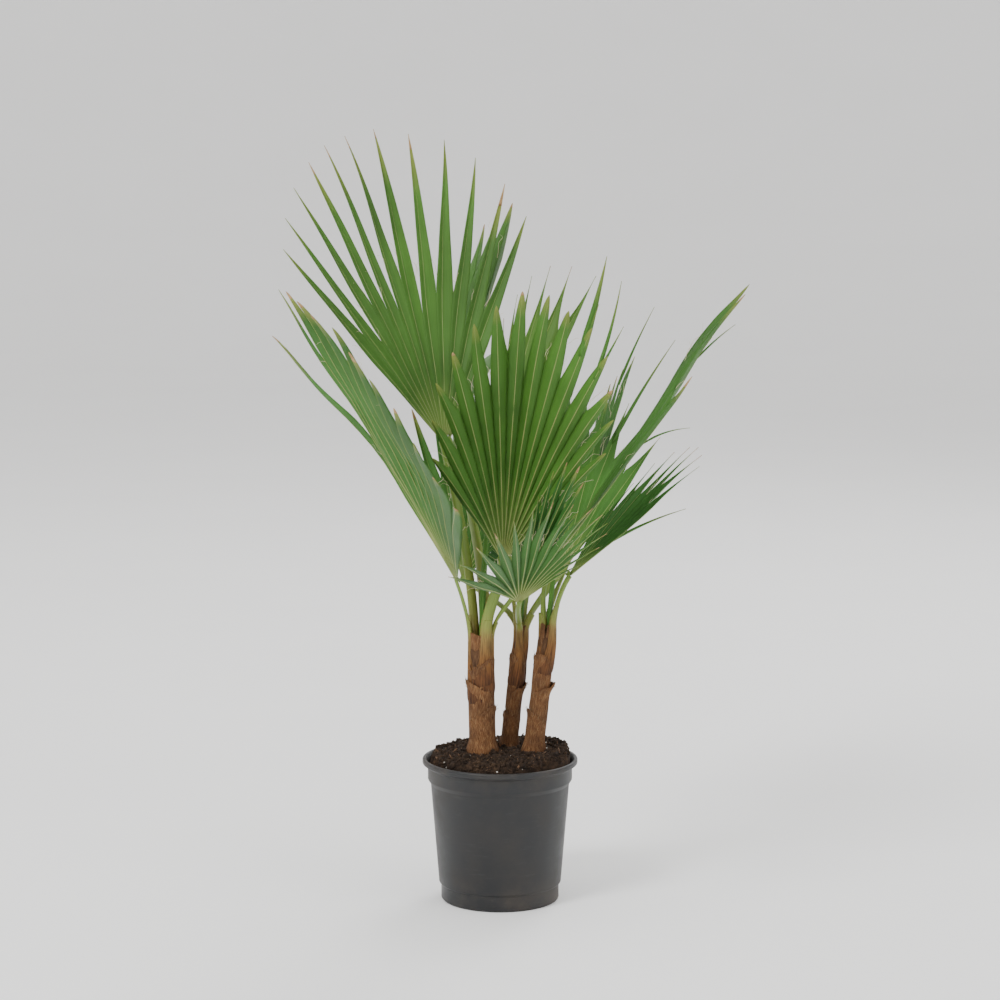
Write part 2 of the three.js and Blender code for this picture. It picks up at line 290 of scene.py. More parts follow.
def stalkMaterial():
    look = stalkLook
    material, tree, shader = newMaterial("stalkSkin", look["tones"][-1][1])
    strip = coords(tree, "UV")
    along = split(tree, strip, "Y")
    hue = ramp(tree, along, look["tones"])
    streaks = noiseFrom(tree, mapped(tree, strip, (14, 2.2, 1)), 2.4, 5.0, 0.6)
    shade = mixColor(tree, spread(tree, streaks, 0.3, 0.7), *look["streak"])
    # the brown foot is streaked with dark fibres
    fibres = noiseFrom(tree, mapped(tree, strip, (11, 8, 1)), 2.0, 6.0, 0.65)
    worn = mixColor(tree, spread(tree, fibres, 0.4, 0.6), *look["fibre"])
    brown = spread(tree, along, 0.12, 0.24, 0.9, 0.0)
    green = mixColor(tree, 0.85, hue, shade, "MULTIPLY")
    tree.links.new(mixColor(tree, brown, green, worn, "MULTIPLY"), shader.inputs["Base Color"])
    sheen = spread(tree, streaks, 0.25, 0.75, *look["roughness"])
    dull = spread(tree, along, 0.12, 0.26, look["dull"], 0.0)
    tree.links.new(combined(tree, "MAXIMUM", sheen, dull), shader.inputs["Roughness"])
    shader.inputs["Specular IOR Level"].default_value = look["specular"]
    bumped(tree, shader, fibres, 0.3, 0.0005)
    return material


# long fibres that cross each other at a small angle, as in sacking
fibreLook = {
    "angles": (16, -13),
    "worn": ((0.62, 0.58, 0.55), (1.15, 1.1, 1.0)),
    "roughness": (0.95, 0.7),
    "specular": 0.2,
}
fibreTones = {
    "oldFibre": {
        "dark": (0.018, 0.009, 0.005), "middle": (0.085, 0.04, 0.018), "light": (0.25, 0.15, 0.075),
        "scale": (24, 0.9, 1),
    },
    "sheathFibre": {
        "dark": (0.035, 0.014, 0.007), "middle": (0.15, 0.068, 0.028), "light": (0.36, 0.23, 0.115),
        "scale": (22, 1.0, 1),
    },
}


def fibreMaterial(name, dark, middle, light, scale):
    look = fibreLook
    material, tree, shader = newMaterial(name, middle)
    strip = coords(tree, "UV")
    leftward, rightward = (
        noiseFrom(tree, mapped(tree, mapped(tree, strip, angle=angle), scale), 3.0, 6.0, 0.6)
        for angle in look["angles"])
    threads = combined(tree, "MAXIMUM", leftward, rightward)
    patches = noiseFrom(tree, coords(tree), 70.0, 5.0)
    color = ramp(tree, threads, [(0.4, dark), (0.55, middle), (0.72, light)])
    worn = mixColor(tree, spread(tree, patches, 0.4, 0.7), *look["worn"])
    tree.links.new(mixColor(tree, 0.8, color, worn, "MULTIPLY"), shader.inputs["Base Color"])
    tree.links.new(spread(tree, threads, 0.3, 0.7, *look["roughness"]), shader.inputs["Roughness"])
    bumped(tree, shader, threads, 0.7, 0.0009)
    shader.inputs["Specular IOR Level"].default_value = look["specular"]
    return material


soilLook = {
    "tones": [
        (0.3, (0.009, 0.006, 0.004)), (0.5, (0.026, 0.015, 0.009)), (0.68, (0.06, 0.035, 0.019)),
        (0.82, (0.12, 0.075, 0.04))],
    "coarse": 130.0,
    "fine": 620.0,
    "roughness": 0.95,
    "specular": 0.25,
}


def soilMaterial():
    look = soilLook
    material, tree, shader = newMaterial("peatSoil", look["tones"][1][1], look["roughness"])
    place = coords(tree)
    coarse = noiseFrom(tree, place, look["coarse"], 6.0, 0.7)
    fine = noiseFrom(tree, place, look["fine"], 5.0, 0.7)
    color = ramp(tree, coarse, look["tones"])
    tree.links.new(mixColor(tree, 0.5, color, fine, "OVERLAY"), shader.inputs["Base Color"])
    bumped(tree, shader, mixColor(tree, 0.45, coarse, fine), 0.8, 0.0015)
    shader.inputs["Specular IOR Level"].default_value = look["specular"]
    return material


plasticLook = {
    "plain": (0.011, 0.0115, 0.0125),
    "scuffed": (0.035, 0.036, 0.038),
    "dusty": (0.085, 0.066, 0.05),
    "lowDust": 0.03,  # metres: dust gathers near the foot, up to here
    "highDust": (0.1, 0.13),  # and between these heights, under the lip
    "roughness": (0.36, 0.6),
    "specular": 0.4,
}


def potMaterial():
    look = plasticLook
    material, tree, shader = newMaterial("potPlastic", look["plain"])
    shader.inputs["Specular IOR Level"].default_value = look["specular"]
    place = coords(tree)
    grain = noiseFrom(tree, place, 900.0, 3.0)
    cloud = noiseFrom(tree, place, 26.0, 6.0, 0.65)
    scuffs = noiseFrom(tree, mapped(tree, place, (1, 1, 7)), 48.0, 8.0, 0.7)
    height = split(tree, place, "Z")
    low = spread(tree, height, 0.0, look["lowDust"], 0.55, 0.0)
    high = spread(tree, height, *look["highDust"], 0.0, 0.4)
    reach = combined(tree, "ADD", low, high)
    most = spread(tree, reach, 0.0, 1.0, 0.16, 0.9)
    dust = combined(tree, "MULTIPLY", spread(tree, cloud, 0.42, 0.7), most)
    scuffed = spread(tree, scuffs, 0.58, 0.75, 0.0, 0.5)
    worn = mixColor(tree, scuffed, look["plain"], look["scuffed"])
    tree.links.new(mixColor(tree, dust, worn, look["dusty"]), shader.inputs["Base Color"])
    tree.links.new(spread(tree, cloud, 0.3, 0.7, *look["roughness"]), shader.inputs["Roughness"])
    bumped(tree, shader, grain, 0.12, 0.0002)
    return material


# two tones, how fine their grain is and how deep its relief
plainLooks = {
    "ribSkin": {
        "color": (0.2, 0.28, 0.07), "other": (0.3, 0.34, 0.1),
        "roughness": 0.45, "scale": 40.0, "bump": 0.1,
    },
    "toothHorn": {
        "color": (0.22, 0.1, 0.03), "other": (0.32, 0.17, 0.05),
        "roughness": 0.4, "scale": 300.0, "bump": 0.1,
    },
    "threadStraw": {
        "color": (0.55, 0.46, 0.28), "other": (0.7, 0.62, 0.42),
        "roughness": 0.7, "scale": 120.0, "bump": 0.1,
    },
    "dryTip": {
        "color": (0.27, 0.16, 0.06), "other": (0.4, 0.27, 0.12),
        "roughness": 0.75, "scale": 150.0, "bump": 0.3,
    },
    "looseFibre": {
        "color": (0.09, 0.042, 0.018), "other": (0.2, 0.115, 0.05),
        "roughness": 0.85, "scale": 200.0, "bump": 0.2,
    },
    "perliteWhite": {
        "color": (0.4, 0.37, 0.32), "other": (0.62, 0.6, 0.55),
        "roughness": 0.9, "scale": 500.0, "bump": 0.5,
    },
    "barkChip": {
        "color": (0.06, 0.028, 0.014), "other": (0.14, 0.075, 0.035),
        "roughness": 0.9, "scale": 300.0, "bump": 0.6,
    },
    "palePaper": {
        "color": (0.93, 0.93, 0.93), "other": (0.945, 0.945, 0.945),
        "roughness": 0.85, "scale": 3.0, "bump": 0.0,
    },
}
skins = {name: plainMaterial(name, **look) for name, look in plainLooks.items()}
skins.update((name, fibreMaterial(name, **tones)) for name, tones in fibreTones.items())
skins.update({"stalkSkin": stalkMaterial(), "peatSoil": soilMaterial(), "potPlastic": potMaterial()})
print("materials ready")


# the plant's layout, the same sizes that the solids were made from

stems = {
    "left": {"foot": (-15.8, -8), "top": (-17.6, -8), "topHeight": 240, "radius": 11.6, "topRadius": 12},
    "middle": {"foot": (8.2, 14), "top": (19, 14), "topHeight": 244, "radius": 7.4, "topRadius": 7.6},
    "right": {"foot": (30.4, -4), "top": (42.4, -4), "topHeight": 250, "radius": 8.8, "topRadius": 8.6},
}
stemShape = {"soilHeight": 137, "flareHeight": 12, "flareWiden": 1.25}

# foot is measured from the middle of the stem's top, hub is where the stalk meets the blade. lean,
# back, turn, spread and fold are degrees. short and skew make the outer segments shorter and one side
# longer, split is where the segments part, droop how far the tips hang, crowd moves the middle
# segments to one side, rise and reach bend the stalk, and age is 0 for a fresh leaf and 1 for an old one
leaves = {
    "left_low": {
        "stem": "left", "foot": (-8.8, -1.5), "hub": (-38, -24, 294), "widths": (4.8, 4),
        "lean": -19, "back": -30, "turn": -69, "length": 295, "spread": 68, "segments": 12,
        "fold": 0, "short": 0.15, "skew": -0.25, "split": 0.72, "taper": 0.6, "droop": 0.07,
        "crowd": -0.15, "rise": 0.3, "reach": 0.2, "loose": True, "age": 0.7,
    },
    "left_high": {
        "stem": "left", "foot": (-5.4, 5), "hub": (-50, 11, 414), "widths": (9, 7.2),
        "lean": -13.5, "back": 5, "turn": 36, "length": 290, "spread": 77, "segments": 12,
        "fold": 15, "short": 0.23, "skew": -0.03, "split": 0.48, "taper": 0.85, "droop": 0,
        "crowd": -0.06, "rise": 0.33, "reach": 0.17, "age": 0.35,
    },
    "left_back": {
        "stem": "left", "foot": (4.6, 5.4), "hub": (-47, 48, 412), "widths": (10.8, 7),
        "lean": 3, "back": 36, "turn": 90, "length": 228, "spread": 68, "segments": 9,
        "fold": 22, "short": 0, "skew": -0.08, "split": 0.72, "taper": 0.7, "droop": 0.08,
        "crowd": 0.09, "rise": 0.52, "reach": 0.03, "age": 0.5,
    },
    "centre_front": {
        "stem": "left", "foot": (4.6, -5.6), "hub": (3, -29, 313), "widths": (10.4, 7.6),
        "lean": 4, "back": -22, "turn": 0, "length": 292, "spread": 64, "segments": 14,
        "fold": 24, "short": 0.52, "skew": 0.04, "split": 0.72, "taper": 0.6, "droop": 0.07,
        "crowd": 0.05, "rise": 0.43, "reach": 0.46, "age": 0.4,
    },
    "centre_young": {
        "stem": "middle", "foot": (-4.2, -0.4), "hub": (-1, 29, 407), "widths": (5.2, 4),
        "lean": 13, "back": 9, "turn": 24, "length": 160, "spread": 40, "segments": 7,
        "fold": 18, "short": 0.2, "skew": 0.34, "split": 0.6, "taper": 1.8, "droop": 0,
        "crowd": -0.16, "rise": 0.1, "reach": 0.03, "age": 0.0,
    },
    "right_high": {
        "stem": "right", "foot": (-3.6, 0.8), "hub": (46, 8, 306), "widths": (8.2, 5.4),
        "lean": 35, "back": 13, "turn": 84, "length": 318, "spread": 31, "segments": 5,
        "fold": 11, "short": 0.7, "skew": -0.14, "split": 0.7, "taper": 0.7, "droop": 0,
        "crowd": 0.09, "rise": 0.16, "reach": 0.43, "age": 0.6,
    },
    "right_low": {
        "stem": "right", "foot": (4.6, -3.8), "hub": (60, -12, 296), "widths": (7, 5.4),
        "lean": 42, "back": 6, "turn": -70, "length": 155, "spread": 46, "segments": 8,
        "fold": 4, "short": 0.3, "skew": 0.3, "split": 0.65, "taper": 1.9, "droop": 0,
        "crowd": 0.02, "rise": 0.37, "reach": 0.16, "age": 0.8,
    },
    "right_back": {
        "stem": "middle", "foot": (3.6, -0.6), "hub": (57, 27, 296), "widths": (7, 5),
        "lean": 10, "back": 42, "turn": 5, "length": 228, "spread": 54, "segments": 10,
        "fold": 16, "short": 0.12, "skew": -0.13, "split": 0.65, "taper": 1.5, "droop": 0.02,
        "crowd": -0.12, "rise": 0.2, "reach": 0.04, "age": 0.6,
    },
    "front_left": {
        "stem": "middle", "foot": (-1.4, -5.6), "hub": (17, -47, 280), "widths": (5.4, 4.2),
        "lean": 11, "back": -53, "turn": 29, "length": 214, "spread": 68, "segments": 14,
        "fold": 10, "short": 0.45, "skew": -0.2, "split": 0.5, "taper": 1.1, "droop": 0.06,
        "crowd": 0.09, "rise": 0.2, "reach": 0.42, "age": 0.75,
    },
    "front_right": {
        "stem": "left", "foot": (10.3, -1.2), "hub": (22, -34, 296), "widths": (4.2, 3.6),
        "lean": 22, "back": -40, "turn": -15, "length": 170, "spread": 25, "segments": 7,
        "fold": 12, "short": 0.6, "skew": -0.14, "split": 0.64, "taper": 0.7, "droop": 0.02,
        "crowd": -0.1, "rise": 0.3, "reach": 0.3, "age": 0.9,
    },
    "back_left": {
        "stem": "middle", "foot": (-3.4, 5.4), "hub": (-34, 49, 284), "widths": (5.6, 4.6),
        "lean": 11, "back": 30, "turn": 15, "length": 187, "spread": 66, "segments": 9,
        "fold": 8, "short": 0.5, "skew": -0.33, "split": 0.5, "taper": 0.6, "droop": 0,
        "crowd": 0.04, "rise": 0.3, "reach": 0.1, "age": 0.65,
    },
    "back_low": {
        "stem": "middle", "foot": (2.4, 5.6), "hub": (27, 62, 278), "widths": (4.4, 3.8),
        "lean": -19, "back": 45, "turn": -23, "length": 200, "spread": 72, "segments": 10,
        "fold": 10, "short": 0.5, "skew": -0.07, "split": 0.4, "taper": 0.95, "droop": 0.09,
        "crowd": -0.16, "rise": 0.43, "reach": 0.1, "age": 0.9,
    },
    "back_right": {
        "stem": "right", "foot": (0, 6), "hub": (72, 72, 317), "widths": (4.8, 4),
        "lean": 12, "back": 51, "turn": 90, "length": 206, "spread": 28, "segments": 10,
        "fold": 25, "short": 0, "skew": -0.1, "split": 0.72, "taper": 0.6, "droop": 0.02,
        "crowd": -0.16, "rise": 0.22, "reach": 0.09, "age": 0.7,
    },
}

# the first segment of a loose leaf parts from the others early, swells and hangs below them
looseSegment = {"split": 0.3, "hang": 36, "swell": 1.3}

# slow waves over each blade, full is how far from the hub they reach their depth
leafWave = {"depth": 4.5, "full": 120, "across": 3, "length": 90}


def leafAxes(leaf):
    lean, back, turn = (math.radians(leaf[key]) for key in ("lean", "back", "turn"))
    along = Vector((math.sin(lean) * math.cos(back), math.sin(back), math.cos(lean) * math.cos(back)))
    level = Vector((math.cos(lean), 0, -math.sin(lean)))
    across = level * math.cos(turn) + along.cross(level) * math.sin(turn)
    return along, across, across.cross(along)


def bladePoint(leaf, axes, angle, distance, length):
    along, across, square = axes
    fold = math.radians(leaf["fold"])
    hang = leaf["droop"] * length * (distance / length) ** 2
    return (Vector(leaf["hub"]) + along * distance * math.cos(angle)
            + across * distance * math.sin(angle) * math.cos(fold)
            + square * distance * abs(math.sin(angle)) * math.sin(fold) - up * hang)


def wavyPoint(leaf, axes, angle, distance, length):
    place = Vector((angle * leafWave["across"], distance / leafWave["length"], leaf["hub"][0]))
    wave = leafWave["depth"] * noise.noise(place) * ease(distance / leafWave["full"])
    return bladePoint(leaf, axes, angle, distance, length) + axes[2] * wave


def segmentLength(leaf, share):
    return leaf["length"] * (1 - leaf["short"] * share ** 2 + leaf["skew"] * share)


# blades: pleated segments, joined as far as the split and free beyond it

bladeShape = {
    "root": 1.6,  # where the segments start, from the hub
    "rows": 28,
    "columns": 6,
    "webShare": 10 / 28,  # the part of the rows in which the segments are joined
    "pleat": 0.62,  # slope of each half of a segment
    "pleatGrowth": 0.35,  # share of the joined part over which the pleats rise
    "splitWave": 0.06,  # how unevenly the segments part, as a share of the length
    "thickness": 0.34,
    "tipWidth": 0.16,  # half the width at the very tip
    "sway": 0.008,  # sideways bend of the tips, as a share of the length
    "nod": 0.009,  # how far they hang, the same way
    "twist": 22,  # degrees at the tip
}


def rayAngle(leaf, share):
    half = math.radians(leaf["spread"]) / 2
    return half * (share + leaf["crowd"] * (1 - share ** 2))


def leafRays(leaf):
    rays = []
    for i in range(leaf["segments"] + 1):
        share = 2 * i / leaf["segments"] - 1
        length = segmentLength(leaf, share)
        split = looseSegment["split"] if i < 2 and leaf.get("loose") else leaf["split"]
        parting = length * (split + bladeShape["splitWave"] * math.sin(2.4 * i))
        rays.append({"angle": rayAngle(leaf, share), "length": length, "parting": parting, "share": share})
    return rays


def upperSide(axes):
    # the leaf's upper face looks up, or inwards on an upright leaf
    return 1.0 if axes[2].z >= 0 else -1.0


def segmentShape(leaf, axes, rays, i, dice):
    # returns the segment's length and the function that gives any point of it, a across and b along
    left, right = rays[i], rays[i + 1]
    middle = (left["angle"] + right["angle"]) / 2
    half = (right["angle"] - left["angle"]) / 2
    length = segmentLength(leaf, (left["share"] + right["share"]) / 2)
    parting = (left["parting"] + right["parting"]) / 2
    taper = leaf["taper"]
    face = upperSide(axes)
    shape = bladeShape
    sway = length * shape["sway"] * dice.uniform(-1, 1)
    nod = length * shape["nod"] * dice.uniform(0.2, 1.6)
    twist = math.radians(shape["twist"]) * dice.uniform(-1, 1)
    webShare = shape["webShare"]
    isLoose = i == 0 and leaf.get("loose")
    hang, swell = (looseSegment["hang"], looseSegment["swell"]) if isLoose else (0, 0)

    def point(a, b):
        edge = 2 * a - 1
        side = left if edge < 0 else right
        if b <= webShare:
            reach = mix(parting, side["parting"], abs(edge))
            distance = mix(shape["root"], reach, b / webShare)
            angle = middle + half * edge
            ownLength = mix(length, side["length"], abs(edge))
            base = wavyPoint(leaf, axes, angle, distance, ownLength)
            width = distance * math.sin(half)
            fold = shape["pleat"] * ease(distance / (shape["pleatGrowth"] * parting) + 0.15)
            return base + axes[2] * face * width * fold * (abs(edge) - 0.5)
        t = (b - webShare) / (1 - webShare)
        distance = mix(parting, length, t)
        width = parting * math.sin(half) * (1 - t) ** taper * (1 + swell * ease(t / 0.4))
        width = max(width, shape["tipWidth"])
        uneven = (side["parting"] - parting) * abs(edge) * (1 - t) ** 3
        turnAngle = math.atan2(width, distance) * edge
        centre = wavyPoint(leaf, axes, middle, distance, length)
        base = wavyPoint(leaf, axes, middle + turnAngle, distance + uneven, length)
        base = base + axes[2] * face * width * shape["pleat"] * (abs(edge) - 0.5)
        spine = (wavyPoint(leaf, axes, middle, distance + 1, length) - centre).normalized()
        offset = base - centre
        offset.rotate(Quaternion(spine, twist * t ** 1.5))
        bend = axes[1] * sway * t ** 2.2 - axes[2] * face * nod * 0.5 * t ** 2
        bend -= up * (nod * t ** 2 + hang * t ** 1.4)
        return centre + offset + bend

    return point, length


# some segments end in a dry brown tip, more of them on older leaves
dryTips = {"young": 0.2, "older": 0.5, "from": 0.88, "to": 0.97, "wider": 1.04, "thicker": 1.1}


def buildBlades():
    shape = bladeShape
    tips = []
    for number, (name, leaf) in enumerate(leaves.items()):
        axes = leafAxes(leaf)
        rays = leafRays(leaf)
        dice = random.Random(40 + number)
        bm = bmesh.new()
        leaf["shapes"] = []
        for i in range(leaf["segments"]):
            point, length = segmentShape(leaf, axes, rays, i, dice)
            leaf["shapes"].append((point, length))
            cut = 1.0
            if dice.random() < dryTips["young"] + dryTips["older"] * leaf["age"]:
                cut = dice.uniform(dryTips["from"], dryTips["to"])
                tips.append((point, cut))

            def place(a, b, point=point, cut=cut):
                return point(a, b * cut)

            def strip(a, b, i=i):
                return (i + a, b)
            shapedGrid(bm, shape["columns"], shape["rows"], place, strip)
        material = leafMaterial("leaf_" + name, leaf["age"])
        finishPiece(bm, "blade_" + name, material, ["frond_" + name], thick=shape["thickness"])
    bm = bmesh.new()
    for point, cut in tips:
        def place(a, b, point=point, cut=cut):
            return point(0.5 + (a - 0.5) * dryTips["wider"], mix(cut, 1, b))
        shapedGrid(bm, 2, 5, place)
    finishPiece(bm, "dry_tips", skins["dryTip"], thick=shape["thickness"] * dryTips["thicker"])


buildBlades()
print("blades done")


# ribs: one tapered cord under the valley of each segment

ribShape = {"sides": 5, "steps": 16, "rootRadius": 0.62, "tipRadius": 0.16, "start": 0.01, "end": 0.97}


def buildRibs():
    shape = ribShape
    bm = bmesh.new()
    for leaf in leaves.values():
        for point, _ in leaf["shapes"]:
            def ring(angle, b, point=point):
                at = mix(shape["start"], shape["end"], b)
                centre = point(0.5, at)
                spine = (point(0.5, min(1, at + 0.01)) - point(0.5, at - 0.01)).normalized()
                side = sideways(spine, point(0.6, at) - point(0.4, at))
                rise = spine.cross(side)
                radius = mix(shape["rootRadius"], shape["tipRadius"], b ** 0.6)
                return rim(centre, side, rise, angle, radius, radius)
            shapedTube(bm, shape["sides"], shape["steps"], ring)
    finishPiece(bm, "leaf_ribs", skins["ribSkin"])


buildRibs()
print("ribs done")


def stemCentre(stem, z):
    low = stemShape["soilHeight"]
    t = (z - low) / (stem["topHeight"] - low)
    return Vector((mix(stem["foot"][0], stem["top"][0], t), mix(stem["foot"][1], stem["top"][1], t), z))


def stemRadius(stem, z):
    low = stemShape["soilHeight"]
    t = (z - low) / (stem["topHeight"] - low)
    flare = 1 + (stemShape["flareWiden"] - 1) * (1 - ease((z - low) / stemShape["flareHeight"]))
    return mix(stem["radius"], stem["topRadius"], t) * flare


# stalks: flat above, round below, with a wide brown base that clasps the stem and a flap at the blade

stalkShape = {
    "sides": 14,
    "steps": 30,
    "rootRadius": 4,
    "gap": 0.3,  # between the solids, also those of stem and stalk
    "widen": 1.12,
    "upperDepth": 0.38,
    "lowerDepth": 0.86,
    "footDepth": 0.84,  # both depths where the stalk leaves the stem
    "flatFrom": 0.3,
    "footStrip": 0.17,  # where the stalk's colours start, those below are the base's
    "sunk": 8,  # how far the stalk goes on down inside its base
    "endFrom": 0.93,  # the last stretch spreads and thins into the blade
    "endWider": 0.25,
    "endThinner": 0.35,
    "flapWidth": 1.5,  # in stalk widths
    "flapHeight": 1.2,  # in half its width
    "flapStart": 1.5,  # from the hub, along the leaf
    "flapSunk": 0.9,
    "flapCurl": 1.3,
    "flapCrown": 0.6,
    "flapThickness": 0.5,
}


def bezier(points, t):
    a, b, c, d = points
    s = 1 - t
    return a * s ** 3 + b * 3 * s * s * t + c * 3 * s * t * t + d * t ** 3


def stalkPath(leaf):
    shape = stalkShape
    stem = stems[leaf["stem"]]
    along, across, _ = leafAxes(leaf)
    top = Vector((*stem["top"], stem["topHeight"] + shape["gap"]))
    foot = top + Vector((*leaf["foot"], 0))
    rootDepth = shape["rootRadius"] * math.cos(math.radians(leaf["spread"]) / 2) - shape["gap"]
    end = Vector(leaf["hub"]) + along * rootDepth
    span = (end - foot).length
    handles = (foot, foot + up * span * leaf["rise"], end - along * span * leaf["reach"], end)
    sunkShare = shape["sunk"] / (span + shape["sunk"])
    startSide = up.cross(Vector((*leaf["foot"], 0)).normalized())
    if startSide.dot(across) < 0:
        startSide = -startSide

    def centre(b):
        if b < sunkShare:
            return foot - up * shape["sunk"] * (1 - b / sunkShare)
        return bezier(handles, (b - sunkShare) / (1 - sunkShare))

    def frameAt(b):
        spine = (centre(min(1, b + 0.01)) - centre(max(0, b - 0.01))).normalized()
        side = sideways(spine, mix(startSide, across, ease(b * 1.1)))
        return spine, side, side.cross(spine)

    def halfWidth(b):
        wide, narrow = leaf["widths"]
        return mix(wide, narrow, max(0, (b - sunkShare) / (1 - sunkShare))) / 2 * shape["widen"]

    return centre, frameAt, halfWidth, sunkShare


def buildStalks():
    shape = stalkShape
    for name, leaf in leaves.items():
        centre, frameAt, halfWidth, sunkShare = stalkPath(leaf)
        leaf["stalk"] = (centre, frameAt, halfWidth, sunkShare)
        axes = leafAxes(leaf)
        face = upperSide(axes)
        bm = bmesh.new()

        def ring(angle, b):
            _, side, above = frameAt(b)
            if above.dot(axes[2]) * face < 0:
                above = -above
            depth = shape["upperDepth"] if math.sin(angle) > 0 else shape["lowerDepth"]
            depth = mix(shape["footDepth"], depth, ease((b - sunkShare) / shape["flatFrom"]))
            width = halfWidth(b)
            last = ease((b - shape["endFrom"]) / (1 - shape["endFrom"]))
            width *= 1 + shape["endWider"] * last
            depth *= 1 - shape["endThinner"] * last
            return rim(centre(b), side, above, angle, width, width * depth)

        def strip(a, b):
            return (a, mix(shape["footStrip"], 1, max(0.0, b - sunkShare) / (1 - sunkShare)))
        shapedTube(bm, shape["sides"], shape["steps"], ring, strip)

        # the flap stands on the upper side, where the blade starts
        along, across, square = axes
        size = leaf["widths"][1] * shape["flapWidth"] / 2

        def flap(a, b):
            edge = 2 * a - 1
            bulge = max(0.0, 1 - edge ** 2)
            tall = shape["flapHeight"] * size * math.sqrt(bulge)
            lift = leaf["widths"][1] / 2 * shape["upperDepth"] * shape["flapSunk"]
            lift += shape["flapCurl"] * b * b + shape["flapCrown"] * bulge
            return (Vector(leaf["hub"]) + along * (shape["flapStart"] + tall * b) + across * edge * size
                    + square * face * lift)
        top = shapedGrid(bm, 8, 4, flap, lambda a, b: (a, 0.95))
        bmesh.ops.solidify(bm, geom=facesOf(top), thickness=shape["flapThickness"])
        finishPiece(bm, "petiole_" + name, skins["stalkSkin"], ["stalk_" + name], weld=0.002)


buildStalks()

# each stalk widens below into a base that wraps round the stem
baseShape = {
    "columns": 18,
    "rows": 22,
    "depth": 30,  # how far it reaches below the stem's top, and deeper for each further leaf
    "deeper": 8,
    "above": 15,
    "wrap": 84,  # degrees to each side, below and at the top
    "topWrap": 104,
    "layer": 0.35,
    "stemPart": 0.66,  # share of the rows that lie against the stem
    "tuck": 1.8,  # how far the lower edge is drawn in
    "tuckTo": 0.2,
    "wider": 1.06,  # than its stalk, which it meets at topWidth
    "topWidth": 0.97,
    "flat": 0.12,  # how much less deep than wide it is at the stalk
    "thickness": 0.7,
}


def buildLeafBases():
    shape = baseShape
    part = shape["stemPart"]
    for stemName, stem in stems.items():
        members = sorted((leaf for leaf in leaves.values() if leaf["stem"] == stemName),
                         key=lambda leaf: -leaf["hub"][2])
        bm = bmesh.new()
        for layer, leaf in enumerate(members):
            centre, frameAt, halfWidth, footShare = leaf["stalk"]
            outward = Vector((*leaf["foot"], 0)).normalized()
            sideward = up.cross(outward)
            low = stem["topHeight"] - shape["depth"] - shape["deeper"] * layer
            foot = centre(footShare)
            full = halfWidth(footShare)
            length = (Vector(leaf["hub"]) - foot).length
            rise = shape["above"] / length

            def place(a, b):
                turn = 2 * a - 1
                t = ease(b / part)
                half = math.radians(mix(shape["wrap"], shape["topWrap"], t))
                back, side = outward, sideward
                if b < part:
                    z = mix(low, stem["topHeight"], b / part)
                    middle = stemCentre(stem, z).lerp(Vector((foot.x, foot.y, z)), t)
                    tuck = shape["tuck"] * (1 - ease(b / part / shape["tuckTo"]))
                    onStem = stemRadius(stem, z) + shape["layer"] * layer - tuck
                    radius = mix(onStem, full * shape["wider"], t)
                    depth = 1 - shape["flat"] * t
                else:
                    share = (b - part) / (1 - part)
                    along = footShare + rise * share
                    middle = centre(along)
                    _, side, above = frameAt(along)
                    side = side if side.dot(sideward) > 0 else -side
                    back = above if above.dot(outward) > 0 else -above
                    radius = halfWidth(along) * mix(shape["wider"], shape["topWidth"], share)
                    depth = 1 - shape["flat"]
                return rim(middle, back, side, turn * half, radius * depth, radius)

            def strip(a, b):
                footStrip = stalkShape["footStrip"]
                below = mix(0.02, footStrip, min(1, b / part))
                return (a * 0.9, below + (1 - footStrip) * rise * max(0, (b - part) / (1 - part)))
            sheet = shapedGrid(bm, shape["columns"], shape["rows"], place, strip)
            bmesh.ops.solidify(bm, geom=facesOf(sheet), thickness=shape["thickness"])
        finishPiece(bm, "leaf_bases_" + stemName, skins["stalkSkin"], weld=0.002)


buildLeafBases()
print("stalks and leaf bases done")

# one unopened leaf stands in the middle of each stem, folded to a spear
spears = {
    "left": {"from": (-17, -7.6, 236), "bend": (-15, -6, 330), "tip": (-3, 4, 420), "radius": 2.6},
    "middle": {"from": (18.6, 14.4, 240), "bend": (21, 18, 310), "tip": (30, 30, 380), "radius": 2.1},
    "right": {"from": (43, -4.4, 246), "bend": (47, -6, 300), "tip": (58, -2, 362), "radius": 2.2},
}
spearShape = {
    "folds": 5, "depth": 0.2, "steps": 30,
    "foot": 0.75, "swell": 0.5, "swellTo": 0.3,  # width at the foot, how much it grows and over what share
    "taper": 0.75, "end": 0.02,
}


def buildSpears():
    shape = spearShape
    bm = bmesh.new()
    for spear in spears.values():
        first, middle, last = (Vector(spear[key]) for key in ("from", "bend", "tip"))

        def ring(angle, b):
            centre, spine = bow(first, middle, last, b)
            side = sideways(spine, Vector((1, 0.2, 0)))
            width = spear["radius"] * (shape["foot"] + shape["swell"] * ease(b / shape["swellTo"]))
            width *= max(shape["end"], 1 - b) ** shape["taper"]
            width *= 1 + shape["depth"] * math.cos(shape["folds"] * angle)
            return rim(centre, side, spine.cross(side), angle, width, width)
        shapedTube(bm, 6 * shape["folds"], shape["steps"], ring, lambda a, b: (a * 3, 0.1 + 0.8 * b))
    finishPiece(bm, "spear_leaves", leafMaterial("leaf_spear", 0.35), weld=0.002)


buildSpears()

# spines along both edges of each stalk, lean is how far one points along the stalk
toothShape = {
    "spacing": 4.6, "tall": 1.15, "radius": 0.42, "tipRadius": 0.04, "sunk": 0.12, "from": 0.14, "to": 0.95,
    "sides": 5, "sizes": (0.7, 1.15), "footSize": 1.1, "endSize": 0.75, "lean": (-0.5, 0.35, 0.6),
}


